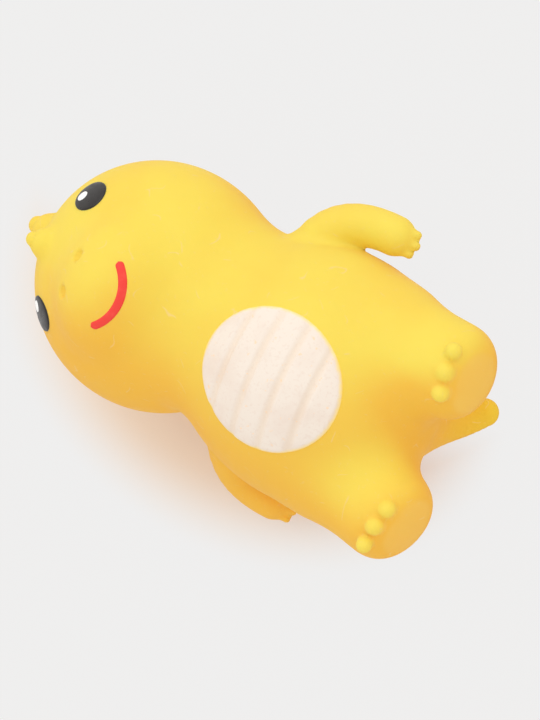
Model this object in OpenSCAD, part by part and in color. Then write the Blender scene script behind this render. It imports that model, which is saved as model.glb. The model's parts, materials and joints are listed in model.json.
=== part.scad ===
// Squeeze toy: a chubby baby dinosaur that lies on its back.
// X runs from the head (-X) to the feet (+X), +Y is the toy's left, +Z is its belly side.
// The origin is on the resting surface, under the middle of the torso.

/* [Torso] */
// Length of the torso, neck end to hip end
torso_l = 68; // [60:1:78]
// Width of the body, the same across the cheeks and the flanks
body_w = 57.5; // [52:0.5:64]
// Depth of the body, the same from back to belly and from back to face
body_d = 52; // [48:0.5:56]
// How far the torso's fullest section sits towards the hips
torso_fullness = 0.13; // [0.05:0.01:0.2]
// Thickness of the moulded rubber skin
wall = 3; // [2:0.25:4]
// Depth of the flat where the soft back rests
rest_flat = 0.5; // [0.3:0.1:1]

/* [Head] */
// Length of the head, crown to neck end
head_l = 59.6; // [52:0.2:64]
// Distance of the neck crease from the torso's neck end
neck_inset = 14; // [12:0.5:16]
// Distance of the neck crease from the head's neck end
head_inset = 10.5; // [9:0.1:12]
// Radius of the ball at the neck's core
neck_r = 12; // [9:0.5:14]

/* [Muzzle and crest] */
// Length of the muzzle, brow side to chin
muzzle_l = 24; // [20:0.5:28]
// Width of the muzzle
muzzle_w = 31; // [26:0.5:35]
// Depth of the muzzle's bulge, most of it inside the head
muzzle_d = 23; // [20:0.5:26]
// How far the muzzle stands out of the face
muzzle_rise = 5.5; // [3:0.25:7]
// Radius of a nostril dimple
nostril_r = 1.4; // [0.8:0.1:2]
// Distance between the nostrils
nostril_gap = 9; // [6:0.5:12]
// Number of soft spines on the crown
spines = 3; // [2:1:3]
// Height of the middle spine
spine_h = 5.5; // [3:0.25:7]
// Base radius of the middle spine
spine_r = 4.4; // [3.5:0.1:5.5]
// Angle between neighbouring spines round the crown
spine_step = 29; // [26:1:30]

/* [Face print] */
// Width of an eye print
eye_w = 8.4; // [6:0.2:11]
// Length of an eye print
eye_l = 10; // [7:0.2:12]
// Angle of an eye out from the face's middle line
eye_out_angle = 32; // [28:1:40]
// Angle of an eye up from the face's centre towards the crown
eye_up_angle = 46; // [40:1:52]
// Radius of the glint on an eye
glint_r = 1.5; // [0.8:0.1:2]
// Thickness of a printed layer
print_t = 0.4; // [0.2:0.1:0.6]
// Radius of the smile's curve
smile_r = 10; // [8:0.25:12]
// Width of the smile's line
smile_w = 1.8; // [1:0.1:2.5]
// Angle of the smile's curve each side of its middle
smile_half = 52; // [40:1:60]

/* [Belly panel] */
// Length of the oval belly panel
belly_l = 34; // [30:1:37]
// Width of the oval belly panel
belly_w = 31; // [27:0.5:34]
// Distance of the panel's middle from the torso's middle
belly_x = 3; // [0:0.5:6]
// Number of ribs across the panel
belly_ribs = 5; // [3:1:7]
// Height of the ribs above the skin
rib_h = 0.7; // [0.4:0.1:1]
// Width of a groove between two ribs
rib_gap = 1.3; // [0.8:0.1:2]

/* [Arms] */
// Radius of an arm at the shoulder
arm_root_r = 6.4; // [6:0.1:7]
// Radius of an arm at the hand
arm_hand_r = 4.5; // [3.8:0.1:4.7]
// Reach of the left arm along the flank, shoulder to hand
left_arm_reach = 16; // [14:0.5:20]
// Reach of the right arm, which is tucked under the flank
right_arm_reach = 11.5; // [10:0.5:16]
// Distance of the left arm's middle line from the flank
left_arm_stand = 6.3; // [6.1:0.1:8]
// Distance of the right arm's middle line from the flank
right_arm_stand = 5.6; // [5.4:0.1:8]
// Drop of the left hand below its shoulder
left_hand_drop = 1; // [0:0.5:4]
// Drop of the right hand below its shoulder
right_hand_drop = 11.5; // [4:0.5:12]
// Depth of the shoulder ball under the flank
shoulder_inset = 7.6; // [6:0.1:9]
// Distance of the shoulder from the neck crease
shoulder_back = 11; // [9.5:0.5:13]
// Length of a finger
finger_l = 1.8; // [1.5:0.1:3]
// Radius of a finger
finger_r = 1.1; // [0.9:0.1:1.4]

/* [Legs] */
// Radius of a leg at the hip
leg_root_r = 11.6; // [10:0.1:13]
// Radius of a foot
foot_r = 10; // [9:0.1:11.5]
// Rounding of the sole's rim
sole_round = 3.5; // [2.5:0.25:5]
// Length of a leg, hip ball to sole
leg_l = 20.2; // [17:0.1:23]
// Distance of the hip ball from the torso's hip end
hip_inset = 13.3; // [12:0.1:15]
// Distance of a hip from the middle plane
hip_out = 15.2; // [14.5:0.1:18]
// Height of a hip above the torso's middle line
hip_up = 4; // [2:0.25:6]
// Splay of a leg sideways, in degrees
leg_splay = 8; // [4:1:12]
// Tilt of a leg towards the belly, in degrees
leg_tilt = 17; // [12:1:20]
// Radius of a toe
toe_r = 1.7; // [1.4:0.1:2.4]
// Bow of the row of toes, in degrees from one toe to the next
toe_bow = 20; // [10:1:30]
// Distance between neighbouring toes
toe_pitch = 4.8; // [4.2:0.1:5.4]
// Flex of a leg each way, in degrees
leg_flex = 10; // [0:1:12]

/* [Tail] */
// Radius of the tail at its root
tail_root_r = 7.6; // [6.5:0.1:9.5]
// Radius of the tail's tip
tail_tip_r = 3.2; // [2.5:0.1:4.5]
// Length of the tail, root ball to tip
tail_l = 12.3; // [10:0.1:16]
// Drop of the tail's tip below its root
tail_drop = 6.5; // [4:0.25:7]
// Sideways sweep of the tail's tip
tail_sweep = 6; // [0:0.5:8]
// Height of the tail's section as a part of its width
tail_height_share = 0.85; // [0.7:0.05:1]
// Distance of the tail's root from the torso's hip end
tail_inset = 9; // [7.5:0.25:11]
// Drop of the tail's root below the torso's middle line
tail_low = 13.5; // [12.5:0.25:15]
// Wag of the tail each way, in degrees
tail_wag = 15; // [0:1:18]

/* [Filling plug] */
// Radius of the plug's shank
plug_r = 3.4; // [2.5:0.1:4]
// Radius of the plug's inner flange
plug_flange_r = 5; // [4.5:0.1:6]
// Thickness of the plug's inner flange
plug_flange_t = 1.2; // [0.8:0.1:1.6]
// Distance of the plug from the torso's middle, towards the hips
plug_x = 5; // [4.5:0.5:7]

/* [Fits] */
// Gap between two soft pieces that move past each other
gap = 0.45; // [0.35:0.05:0.6]
// Gap between the filling and what surrounds it
fill_gap = 0.3; // [0.2:0.05:0.5]
// Gap round the plug's shank
plug_gap = 0.1; // [0.05:0.05:0.2]

/* [Hidden] */

LEFT = 1;
RIGHT = -1;
skin_yellow = "#ffd84f";
limb_yellow = "#f7dc55";
belly_cream = "#f4e6d6";
fill_white = "#f6efe0";
print_black = "#2a2624";
print_white = "#ffffff";
print_red = "#e8453a";

// Faces of the lofted forms
egg_sides = 32;
egg_rings = 20;
inner_sides = 20;
inner_rings = 12;
small_sides = 12;
small_rings = 6;
limb_sides = 16;
limb_steps = 7;
cap_steps = 3;
round_sides = 40;
big = 300;

// Where each form's facets start, as a share of one facet, so that edges of two forms stay apart
egg_start = 0.54;
inner_start = 0.87;
neck_start = 0.77;
arm_start = 0.92;
finger_start = 0.73;
leg_start = 0.38;
toe_start = 0.26;
tail_start = 0.19;
head_start = 0.54;
muzzle_start = 0.57;
crest_start = 0.14;
nostril_start = 0.09;

// Middle line of the head and the torso, set so that both backs rest on z = 0
torso_full = full_at(torso_fullness);
torso_d = body_d / torso_full;
axis_z = body_d / 2 - rest_flat;
torso_z = axis_z;
neck_x = neck_inset - torso_l / 2;
head_x = neck_x + head_inset - head_l / 2;

// Shoulder, hip and tail roots follow the torso
shoulder_x = neck_x + shoulder_back;
shoulder_y = body_w / 2 - shoulder_inset;
shoulder_z = torso_z - torso_d / 34;
flank_y = body_w / 2 * torso_full;
hip_x = torso_l / 2 - hip_inset;
hip_z = torso_z + hip_up;
tail_x = torso_l / 2 - tail_inset;
tail_z = torso_z - tail_low;
facet_sag = torso_d / 2 * (1 - cos(180 / inner_sides)) + torso_l / 2 * (1 - cos(90 / inner_rings));
plug_z = plug_gap + facet_sag + max([for (a = [0 : 30 : 330]) inner_floor(plug_x + plug_flange_r * cos(a), plug_flange_r * sin(a))]);

// Muzzle, on the face's middle line
muzzle_x = head_x - head_l / 60;
muzzle_z = axis_z + body_d / 2 + muzzle_rise - muzzle_d / 2;
nostril_x = muzzle_x - muzzle_l * 0.3;
smile_x = muzzle_x - muzzle_l / 8;

// Height of the skin's inner surface over the torso's back
function inner_floor(x, y) =
    let (half = [torso_l / 2 - wall, body_w / 2 - wall, torso_d / 2 - wall])
    let (a = acos(-x / half[0]), r = sin(a) * (1 - torso_fullness * cos(a)))
    torso_z - half[2] * r * sqrt(1 - pow(y / (half[1] * r), 2));

// Largest radius factor of an egg that is fuller towards one end
function full_at(b) = max([for (a = [90 : 0.5 : 130]) sin(a) * (1 - b * cos(a))]);

function unit(v) = v / norm(v);
function mix(a, b, t) = a + (b - a) * t;
function bezier(p, t) = let (s = 1 - t)
    s * s * s * p[0] + 3 * s * s * t * p[1] + 3 * s * t * t * p[2] + t * t * t * p[3];
function way(path, i) = unit(path[min(i + 1, len(path) - 1)] - path[max(i - 1, 0)]);

// One closed loop of points round a limb's middle line
function ring(centre, along, r, flat, sides, start) = let (a = unit(cross([0, 0, 1], along)), b = cross(along, a))
    [for (k = [0 : sides - 1]) let (w = 360 * (k + start) / sides) centre + r * cos(w) * a + flat * r * sin(w) * b];

// Part of a facet by which a ring is turned: every second ring by a half
function stagger(i) = (i % 2) / 2;

// Closed form through a list of equal rings, every second one staggered, with a point at each end
module loft(rings, first, last) {
    n = len(rings[0]);
    m = len(rings);
    points = concat([first], [for (r = rings) each r], [last]);
    faces = concat(
        [for (k = [0 : n - 1]) [0, 1 + k, 1 + (k + 1) % n]],
        [for (i = [0 : m - 2], k = [0 : n - 1]) let (a = 1 + i * n, j = (k + 1) % n)
            stagger(i) == 0 ? [a + k, a + n + k, a + j] : [a + k, a + n + j, a + j]],
        [for (i = [0 : m - 2], k = [0 : n - 1]) let (a = 1 + i * n, j = (k + 1) % n)
            stagger(i) == 0 ? [a + j, a + n + k, a + n + j] : [a + k, a + n + k, a + n + j]],
        [for (k = [0 : n - 1]) let (a = 1 + (m - 1) * n) [m * n + 1, a + (k + 1) % n, a + k]]
    );
    polyhedron(points, faces);
}

// Egg along X, fuller towards +X by the fullness; grow moves its whole surface outwards
module egg(l, w, d, fullness = 0, grow = 0, sides = egg_sides, steps = egg_rings, start = egg_start) {
    half = [l / 2 + grow, w / 2 + grow, d / 2 + grow];
    loft([for (i = [1 : steps - 1]) let (a = 180 * i / steps, r = sin(a) * (1 - fullness * cos(a)))
            [for (k = [0 : sides - 1]) let (t = 360 * (k + start + stagger(i - 1)) / sides)
                [-half[0] * cos(a), half[1] * r * cos(t), half[2] * r * sin(t)]]],
        [-half[0], 0, 0], [half[0], 0, 0]);
}

module small_ball(r, start) {
    egg(2 * r, 2 * r, 2 * r, sides = small_sides, steps = small_rings, start = start);
}

// Tapered limb along a path, with a ball at its root and a rounded end; end_round sets the end's corner
module limb(path, radii, flat = 1, sides = limb_sides, end_round = 0, start = 0) {
    last = len(path) - 1;
    flats = is_list(flat) ? flat : [for (p = path) flat];
    out = way(path, last);
    back = way(path, 0);
    corner = end_round > 0 ? end_round : radii[last];
    inner = radii[last] - corner;
    turns = cap_steps - 1;
    loft(concat(
            [for (i = [0 : turns - 1]) let (a = 90 * (1 - (i + 1) / cap_steps))
                ring(path[0] - radii[0] * sin(a) * back, back, radii[0] * cos(a), flats[0], sides, start + stagger(i))],
            [for (i = [0 : last])
                ring(path[i], way(path, i), radii[i], flats[i], sides, start + stagger(turns + i))],
            [for (i = [0 : turns - 1]) let (a = 90 * (i + 1) / cap_steps)
                ring(path[last] + corner * sin(a) * out, out, inner + corner * cos(a), flats[last], sides,
                    start + stagger(turns + last + 1 + i))]),
        path[0] - radii[0] * back, path[last] + corner * out);
}

// Joins and cuts of a soft form, kept at its own size as one skin
module soft_form() {
    resize([0, 0, 0]) children();
}

// Everything on the neck side or the hip side of a plane across X
module before(x) {
    translate([x - big, -big / 2, -big / 2]) cube(big);
}

module after(x) {
    translate([x, -big / 2, -big / 2]) cube(big);
}

module under_floor() {
    translate([-big / 2, -big / 2, -big]) cube(big);
}

// Outer forms of the torso, the head and the muzzle
module torso_form(grow = 0) {
    translate([0, 0, torso_z]) egg(torso_l, body_w, torso_d, torso_fullness, grow);
}

module torso_inside(grow = 0) {
    translate([0, 0, torso_z])
        egg(torso_l, body_w, torso_d, torso_fullness, grow - wall, inner_sides, inner_rings, inner_start);
}

module head_form(grow = 0) {
    translate([head_x, 0, axis_z]) egg(head_l, body_w, body_d, 0, grow, start = head_start);
}

module head_inside(grow = 0) {
    translate([head_x, 0, axis_z]) egg(head_l, body_w, body_d, 0, grow - wall, inner_sides, inner_rings, inner_start);
}

module muzzle_form(grow = 0) {
    translate([muzzle_x, 0, muzzle_z]) egg(muzzle_l, muzzle_w, muzzle_d, 0, grow, inner_sides, inner_rings, muzzle_start);
}

module neck_ball(grow = 0) {
    translate([neck_x, 0, axis_z])
        egg(2 * neck_r, 2 * neck_r, 2 * neck_r, 0, grow, inner_sides, small_rings, neck_start);
}

// Oval prism that cuts the belly panel out of the torso
module belly_oval(grow = 0) {
    translate([belly_x, 0, torso_z])
        scale([belly_l / 2 + grow, belly_w / 2 + grow, torso_d])
            cylinder(h = 1, r = 1, $fn = round_sides);
}

// Puts a left limb on its own side
module sided(side) {
    if (side == LEFT) children();
    else mirror([0, 1, 0]) children();
}

// Arm: out of the shoulder, round and along the flank to the hand, worked out on the left side
function arm_points(side) =
    let (reach = side == LEFT ? left_arm_reach : right_arm_reach)
    let (drop = side == LEFT ? left_hand_drop : right_hand_drop)
    let (y = flank_y + (side == LEFT ? left_arm_stand : right_arm_stand)) [
        [shoulder_x, shoulder_y, shoulder_z],
        [shoulder_x, mix(shoulder_y, y, 0.82), shoulder_z - 0.3 * drop],
        [shoulder_x + reach / 2, y, shoulder_z - 0.9 * drop],
        [shoulder_x + reach, y, shoulder_z - drop]
    ];
function arm_path(side) = [for (i = [0 : limb_steps]) bezier(arm_points(side), i / limb_steps)];
arm_radii = [for (i = [0 : limb_steps]) mix(arm_hand_r, arm_root_r, pow(1 - i / limb_steps, 2.6))];

module fingers(hand) {
    spread = arm_hand_r - finger_r;
    for (k = [-1 : 1]) {
        from = hand + [arm_hand_r - 1.4 * finger_r, k * spread * 0.8, (1 - abs(k)) * finger_r / 2];
        tip = from + [finger_l, k * finger_l / 6, 0];
        limb([from, mix(from, tip, 0.5), tip], finger_r * [1, 0.9, 0.6], sides = small_sides - 2, start = finger_start);
    }
}

module arm(side) {
    color(limb_yellow) soft_form() sided(side) union() {
        limb(arm_path(side), arm_radii, start = arm_start);
        fingers(arm_points(side)[3]);
    }
}

// Room for an arm that swings about its shoulder's axis along Y
module arm_room(side, grow) {
    root = arm_points(side)[0];
    path = arm_path(side);
    near = [for (i = [0 : floor(limb_steps / 2)]) path[i]];
    offsets = [for (p = near) norm([p[0] - root[0], p[2] - root[2]])];
    slants = [for (i = [0 : len(near) - 1]) way(path, i)[1]];
    limb([for (p = near) [root[0], p[1], root[2]]],
        [for (i = [0 : len(near) - 1]) arm_radii[i] / slants[i] + grow + offsets[i]], start = arm_start);
}

// Leg: a short stump from the hip to a flat sole with round toes on its belly side
leg_way = [cos(leg_tilt) * cos(leg_splay), cos(leg_tilt) * sin(leg_splay), sin(leg_tilt)];
leg_steps = [0, 0.5, 1];
leg_reach = leg_l - sole_round;
leg_radii = [for (t = leg_steps) mix(leg_root_r, foot_r, t)];
leg_path = [for (t = leg_steps) leg_at(leg_reach * t)];
function leg_at(along) = [hip_x, hip_out, hip_z] + along * leg_way;

module toes() {
    sole = leg_at(leg_l - sole_round / 4);
    lift = foot_r - 1.2 * toe_r;
    across = [-sin(leg_splay), cos(leg_splay), 0];
    up = cross(leg_way, across);
    for (k = [-1 : 1])
        translate(sole + k * toe_pitch * across + lift * cos(toe_bow * k) * up) small_ball(toe_r, toe_start);
}

module leg(side) {
    color(limb_yellow) soft_form() sided(side) union() {
        limb(leg_path, leg_radii, end_round = sole_round, start = leg_start);
        toes();
    }
}

// Room for a leg that flexes about its hip
module leg_room(grow) {
    limb(leg_path, [for (i = [0 : 2]) leg_radii[i] + grow + leg_reach * leg_steps[i] * sin(leg_flex)], start = leg_start);
}

// Tail: a soft cone that drops towards the floor and sweeps to the left
tail_points = [
    [tail_x, 0, tail_z],
    [tail_x + tail_l / 3, 0, tail_z - tail_drop / 2],
    [tail_x + tail_l / 1.5, tail_sweep / 2, tail_z - tail_drop],
    [tail_x + tail_l, tail_sweep, tail_z - tail_drop]
];

tail_path = [for (i = [0 : limb_steps]) bezier(tail_points, i / limb_steps)];
tail_radii = [for (i = [0 : limb_steps]) mix(tail_root_r, tail_tip_r, i / limb_steps)];

module tail() {
    color(limb_yellow) limb(tail_path, tail_radii, flat = tail_height_share, start = tail_start);
}

// Room for a tail that wags about its root, wider sideways than it is high
module tail_room(grow) {
    turn = tail_root_r * (1 - tail_height_share) * sin(tail_wag) + grow;
    widths = [for (i = [0 : limb_steps])
        tail_radii[i] + turn + (tail_path[i][0] - tail_x) * tan(tail_wag) + 1.2 * tail_path[i][1]];
    heights = [for (i = [0 : limb_steps]) tail_height_share * tail_radii[i] + turn];
    limb([for (p = tail_path) [p[0], 0, p[2]]], widths,
        flat = [for (i = [0 : limb_steps]) heights[i] / widths[i]], start = tail_start);
}

// Room that each limb needs in the torso over its whole travel
module limb_rooms(grow) {
    for (side = [LEFT, RIGHT])
        sided(side) {
            arm_room(side, grow);
            leg_room(grow);
        }
    tail_room(grow);
}

// Torso: hollow moulded skin with an opening for each limb, the neck, the belly panel and the plug
module torso_skin() {
    color(skin_yellow) soft_form() difference() {
        torso_form();
        difference() {
            torso_inside();
            before(neck_x + gap / 2 + wall);
        }
        before(neck_x + gap / 2);
        neck_ball(gap);
        belly_oval();
        limb_rooms(gap);
        plug_hole();
        under_floor();
    }
}

// Belly panel: the ribbed oval of skin that a thumb presses in
module belly_panel() {
    pitch = belly_l / belly_ribs;
    color(belly_cream) soft_form() difference() {
        intersection() {
            torso_form(rib_h);
            belly_oval(-gap);
        }
        torso_inside();
        for (i = [1 : belly_ribs - 1])
            difference() {
                translate([belly_x - belly_l / 2 + i * pitch - rib_gap / 2, -belly_w, torso_z]) cube([rib_gap, 2 * belly_w, torso_d]);
                torso_form();
            }
    }
}

module torso_filling() {
    color(fill_white) soft_form() difference() {
        torso_inside(-fill_gap);
        before(neck_x + gap / 2 + wall + fill_gap);
        neck_ball(gap + fill_gap);
        limb_rooms(gap + fill_gap);
        plug_room();
    }
}

// Plug in the filling hole of the back: a shank flush with the skin and a flange inside it
module plug_hole() {
    translate([plug_x, 0, -wall]) cylinder(h = plug_z + 2 * wall, r = plug_r + plug_gap, $fn = round_sides / 2);
}

module plug_flange() {
    translate([plug_x, 0, plug_z]) cylinder(h = plug_flange_t, r = plug_flange_r, $fn = round_sides / 2);
}

// Room in the filling for the flange and for the skin's step round it
module plug_room() {
    translate([plug_x, 0, 0])
        cylinder(h = plug_z + plug_flange_t + fill_gap, r = plug_flange_r + fill_gap, $fn = round_sides / 2);
}

module filling_plug() {
    color(limb_yellow) soft_form() difference() {
        union() {
            intersection() {
                torso_form();
                translate([plug_x, 0, 0]) cylinder(h = plug_z + plug_flange_t, r = plug_r, $fn = round_sides / 2);
            }
            plug_flange();
        }
        under_floor();
    }
}

// Crest: soft spines round the crown's middle line, the middle one largest
module crest() {
    for (i = [0 : spines - 1]) {
        from_middle = i - (spines - 1) / 2;
        size = 1 - 0.18 * abs(from_middle);
        a = spine_step * (from_middle - 0.35);
        root = [head_x - head_l / 2 * cos(a), 0, axis_z - body_d / 2 * sin(a)];
        out = [-cos(a), 0, -sin(a)];
        foot = root - out * spine_r * size;
        tip = root + out * size * (spine_h - spine_r * 0.5);
        limb([foot, mix(foot, root, 0.8), mix(root, tip, 0.6), tip], size * spine_r * [0.9, 1, 0.74, 0.5], sides = small_sides,
            start = crest_start);
    }
}

// Head: hollow moulded skin with its muzzle and crest, open at the neck
module head_skin() {
    color(skin_yellow) soft_form() difference() {
        union() {
            difference() {
                head_form();
                after(neck_x - gap / 2);
            }
            muzzle_form();
            crest();
        }
        difference() {
            head_inside();
            after(neck_x - gap / 2 - wall);
        }
        neck_ball(fill_gap);
        for (side = [LEFT, RIGHT])
            translate([nostril_x, side * nostril_gap / 2, muzzle_top(nostril_x - muzzle_x, nostril_gap / 2)]) small_ball(nostril_r, nostril_start);
        under_floor();
    }
}

// Height of the muzzle's surface at a place on it
function muzzle_top(dx, dy) =
    muzzle_z + muzzle_d / 2 * sqrt(1 - pow(2 * dx / muzzle_l, 2) - pow(2 * dy / muzzle_w, 2));

// Filling of the head, with the round core that passes through the neck
module head_filling() {
    color(fill_white) soft_form() union() {
        difference() {
            head_inside(-fill_gap);
            after(neck_x - gap / 2 - wall - fill_gap);
        }
        neck_ball();
    }
}

// Puts its children on the head's surface where an eye is, pointing straight out
module at_eye(side, up, out) {
    translate([head_x, 0, axis_z]) rotate([0, -up, 0]) rotate([-side * out, 0, 0]) children();
}

module eye_print(side) {
    color(print_black) soft_form() intersection() {
        difference() {
            head_form(print_t);
            head_form();
            muzzle_form(gap);
        }
        at_eye(side, eye_up_angle, eye_out_angle) scale([eye_l / 2, eye_w / 2, head_l]) cylinder(h = 1, r = 1, $fn = round_sides / 2);
    }
}

module eye_glint(side) {
    color(print_white) soft_form() intersection() {
        difference() {
            head_form(1.5 * print_t);
            head_form(print_t);
        }
        at_eye(side, eye_up_angle + 3, eye_out_angle - 3) scale([glint_r, glint_r, head_l]) cylinder(h = 1, r = 1, $fn = limb_sides);
    }
}

module mouth_print() {
    color(print_red) soft_form() intersection() {
        difference() {
            muzzle_form(print_t);
            muzzle_form();
            head_form();
        }
        translate([smile_x, 0, muzzle_z]) linear_extrude(height = muzzle_d) smile_sector();
    }
}

// The part of the smile's ring on the chin side
module smile_sector() {
    intersection() {
        difference() {
            circle(r = smile_r + smile_w / 2, $fn = round_sides);
            circle(r = smile_r - smile_w / 2, $fn = round_sides);
        }
        polygon([[0, 0], [2 * smile_r * cos(smile_half), -2 * smile_r * sin(smile_half)],
            [2 * smile_r, 0], [2 * smile_r * cos(smile_half), 2 * smile_r * sin(smile_half)]]);
    }
}

torso_skin();
belly_panel();
torso_filling();
filling_plug();
head_skin();
head_filling();
mouth_print();
eye_print(LEFT);  // eye_print_left
eye_print(RIGHT);  // eye_print_right
eye_glint(LEFT);  // eye_glint_left
eye_glint(RIGHT);  // eye_glint_right
arm(LEFT);  // arm_left
arm(RIGHT);  // arm_right
leg(LEFT);  // leg_left
leg(RIGHT);  // leg_right
tail();
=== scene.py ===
"""Looks of a soft squeeze toy, a baby dinosaur on its back.

The toy is one moulded skin. It is made here as one smooth surface round the CAD forms, and is then
cut into pieces along planes where the bending starts.
Shapes are worked out in millimetres and handed to Blender in metres.
"""

import json
import math

import bmesh
import bpy
import numpy as np
from mathutils import Matrix, Vector


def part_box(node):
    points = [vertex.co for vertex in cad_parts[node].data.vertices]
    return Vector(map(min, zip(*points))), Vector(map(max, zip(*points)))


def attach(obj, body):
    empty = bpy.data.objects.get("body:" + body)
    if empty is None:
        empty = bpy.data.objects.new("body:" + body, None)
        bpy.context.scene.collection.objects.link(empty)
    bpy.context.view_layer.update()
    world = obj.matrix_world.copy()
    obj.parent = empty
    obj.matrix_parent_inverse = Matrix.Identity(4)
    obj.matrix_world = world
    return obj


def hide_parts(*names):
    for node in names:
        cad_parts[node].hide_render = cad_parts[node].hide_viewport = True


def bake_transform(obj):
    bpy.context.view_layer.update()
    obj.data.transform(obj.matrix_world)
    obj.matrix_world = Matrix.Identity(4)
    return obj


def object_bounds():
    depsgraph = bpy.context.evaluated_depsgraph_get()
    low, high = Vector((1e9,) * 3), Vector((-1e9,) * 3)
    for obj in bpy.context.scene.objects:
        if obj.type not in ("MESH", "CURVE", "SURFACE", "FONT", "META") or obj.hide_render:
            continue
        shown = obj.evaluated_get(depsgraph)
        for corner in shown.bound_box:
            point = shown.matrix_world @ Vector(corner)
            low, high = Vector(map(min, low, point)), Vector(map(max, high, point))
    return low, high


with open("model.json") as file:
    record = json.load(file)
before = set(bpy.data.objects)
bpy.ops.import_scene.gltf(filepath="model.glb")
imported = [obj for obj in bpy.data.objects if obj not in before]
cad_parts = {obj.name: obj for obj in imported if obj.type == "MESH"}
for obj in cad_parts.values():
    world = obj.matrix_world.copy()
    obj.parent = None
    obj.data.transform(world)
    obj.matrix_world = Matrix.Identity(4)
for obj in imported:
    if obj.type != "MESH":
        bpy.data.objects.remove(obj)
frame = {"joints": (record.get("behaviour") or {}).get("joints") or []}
cad_low, cad_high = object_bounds()
MM = 0.001


def joint_at(name):
    """Pivot of a CAD joint, in millimetres."""
    found = [j for j in frame["joints"] if j["name"] == name]
    return np.array(found[0]["pos_m"]) / MM


def top_of(node):
    """Highest corner of a CAD node, in millimetres."""
    return np.array(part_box(node)[1]) / MM


# Forms of the body, as in the CAD part, with slightly fuller hips
TORSO_HALF = np.array([34.0, 28.75, 25.79])
TORSO_FULLNESS = 0.17
TORSO_AT = np.array([0.0, 0.0, 25.5])
HEAD_HALF = np.array([29.8, 28.75, 26.0])
HEAD_AT = np.array([-39.3, 0.0, 25.5])
MUZZLE_HALF = np.array([12.0, 15.5, 11.5])
MUZZLE_AT = np.array([-40.29, 0.0, top_of("head_skin")[2] - 11.5])
NOSTRIL_R = 1.4
NOSTRIL_AT = np.array([-47.49, 4.5, 0.0])
SPINE_ANGLES = (-39.15, -10.15, 18.85)
SPINE_SIZES = (0.82, 1.0, 0.82)
SPINE_R = 4.4
SPINE_H = 5.5

# Limbs
SHOULDER = joint_at("left_arm_swing")
FLANK_Y = 28.99
ARM_REACH = {"left": 16.0, "right": 11.5}
ARM_STAND = {"left": 6.3, "right": 5.6}
HAND_DROP = {"left": 1.0, "right": 11.5}
ARM_R = (6.4, 4.5)
ARM_TAPER = 2.6
ARM_NEAR = 8.0
FINGER_R = 1.3
FINGER_L = 2.1
FINGER_FAN = math.radians(38)
HIP = joint_at("left_leg_flex")
LEG_TILT = math.radians(17)
LEG_SPLAY = math.radians(8)
LEG_WAY = np.array([
    math.cos(LEG_TILT) * math.cos(LEG_SPLAY),
    math.cos(LEG_TILT) * math.sin(LEG_SPLAY),
    math.sin(LEG_TILT),
])
LEG_L = 20.2
LEG_R = (12.0, 10.7)
SOLE_ROUND = 5.0
SOLE_DOME = 26.0
SOLE_PROUD = 2.3
TOE_R = 1.75
TOE_PITCH = 4.8
TOE_BOW = math.radians(20)
TOE_OUT = 0.9
TAIL_ROOT = joint_at("tail_wag")
TAIL_L = 12.3
TAIL_DROP = 6.5
TAIL_SWEEP = 6.0
TAIL_R = (7.6, 3.2)
TAIL_FLAT = 0.85

# Face print, belly panel and plug
EYE_HALF = (5.0, 4.2)
EYE_UP = math.radians(46)
EYE_OUT = math.radians(32)
GLINT_HALF = (1.5, 1.5)
GLINT_UP = math.radians(49)
GLINT_OUT = math.radians(29)
SMILE_AT = np.array([-43.29, 0.0])
SMILE_R = 10.0
SMILE_W = 1.8
SMILE_HALF = math.radians(52)
BELLY_AT = np.array([3.8, -0.2])
BELLY_HALF = np.array([17.0, 15.5])
BELLY_RIBS = 5
RIB_H = 0.7
RIB_GAP = 1.3
PLUG_AT = np.array([5.0, 0.0])
PLUG_R = 3.4

# How softly the forms run into each other
NECK_SOFT = (3.0, 10.5)
NECK_FRONT = (28.0, 44.0)
NECK_LEFT = 1.0
NECK_FLANK = (5.0, 20.0)
MUZZLE_SOFT = 4.5
SPINE_SOFT = 2.5
ARM_SOFT = 2.4
LEG_SOFT = 7.0
TAIL_SOFT = 6.0
SMALL_SOFT = 0.8
TOE_SOFT = 1.2
REST_SOFT = 1.5

# Grid that the skin is found on
GRID_STEP = 0.75
GRID_MARGIN = 3.0
PATH_STEPS = 10

# Painted shade and light on the skin: which sides and creases are painted warmer, and which parts paler
BRIGHT_SIDE = np.array([-0.3, 0.7, 0.65])
# Painted shade in creases and on the sides turned away from the key light
CREASE_PAINTED_SHADE = 0.12
AWAY_PAINTED_SHADE = 0.54
TINT_STEP = 6.0
ARM_CALM = 0.75
# Painted light: the raised left arm is paler as the lit side
LEFT_ARM_PAINTED_LIGHT = 0.8
TAIL_LIME = (30.0, 41.0)
CREASE_REACHES = (3.0, 7.0, 12.0)
CREASE_RANGE = (0.05, 0.9)
AWAY_RANGE = (-0.85, 0.05)
UNDER_RANGE = (0.2, 0.9)
SOLE_RANGE = (0.93, 0.995)
TOE_EDGE = (0.0, 0.5)
ARM_EDGE = (0.2, 2.5)
TAIL_EDGE = (0.2, 2.0)

# Planes where the skin's pieces start to bend, and how far the bending runs
HEAD_BEND = (-17.5, -30.0)
ARM_BEND = {"left": 0.6, "right": 0.52}
LEG_BEND = (9.5, 16.0)
TAIL_BEND = (33.5, 39.5)
LIMB_SPLIT_Z = 17.0
BELLY_REACH = 6.4
BELLY_WAY = np.array([0.04, 0.0, 1.0])
BELLY_START = np.array([-20.0, 0.0, 45.6])

# Picture
PHOTO_W = 540
PHOTO_H = 720
CAMERA_RIGHT = Vector((0.811, 0.390, -0.435))
CAMERA_UP = Vector((-0.451, 0.892, -0.040))
CAMERA_BACK = Vector((0.373, 0.229, 0.899))
CAMERA_AIM = Vector((-14.85, 0.0, 25.5))
CAMERA_AWAY = 520.0
FOCAL_PX = 2309.0
AIM_PX = (247.75, 334.92)
SENSOR_MM = 36.0


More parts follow.
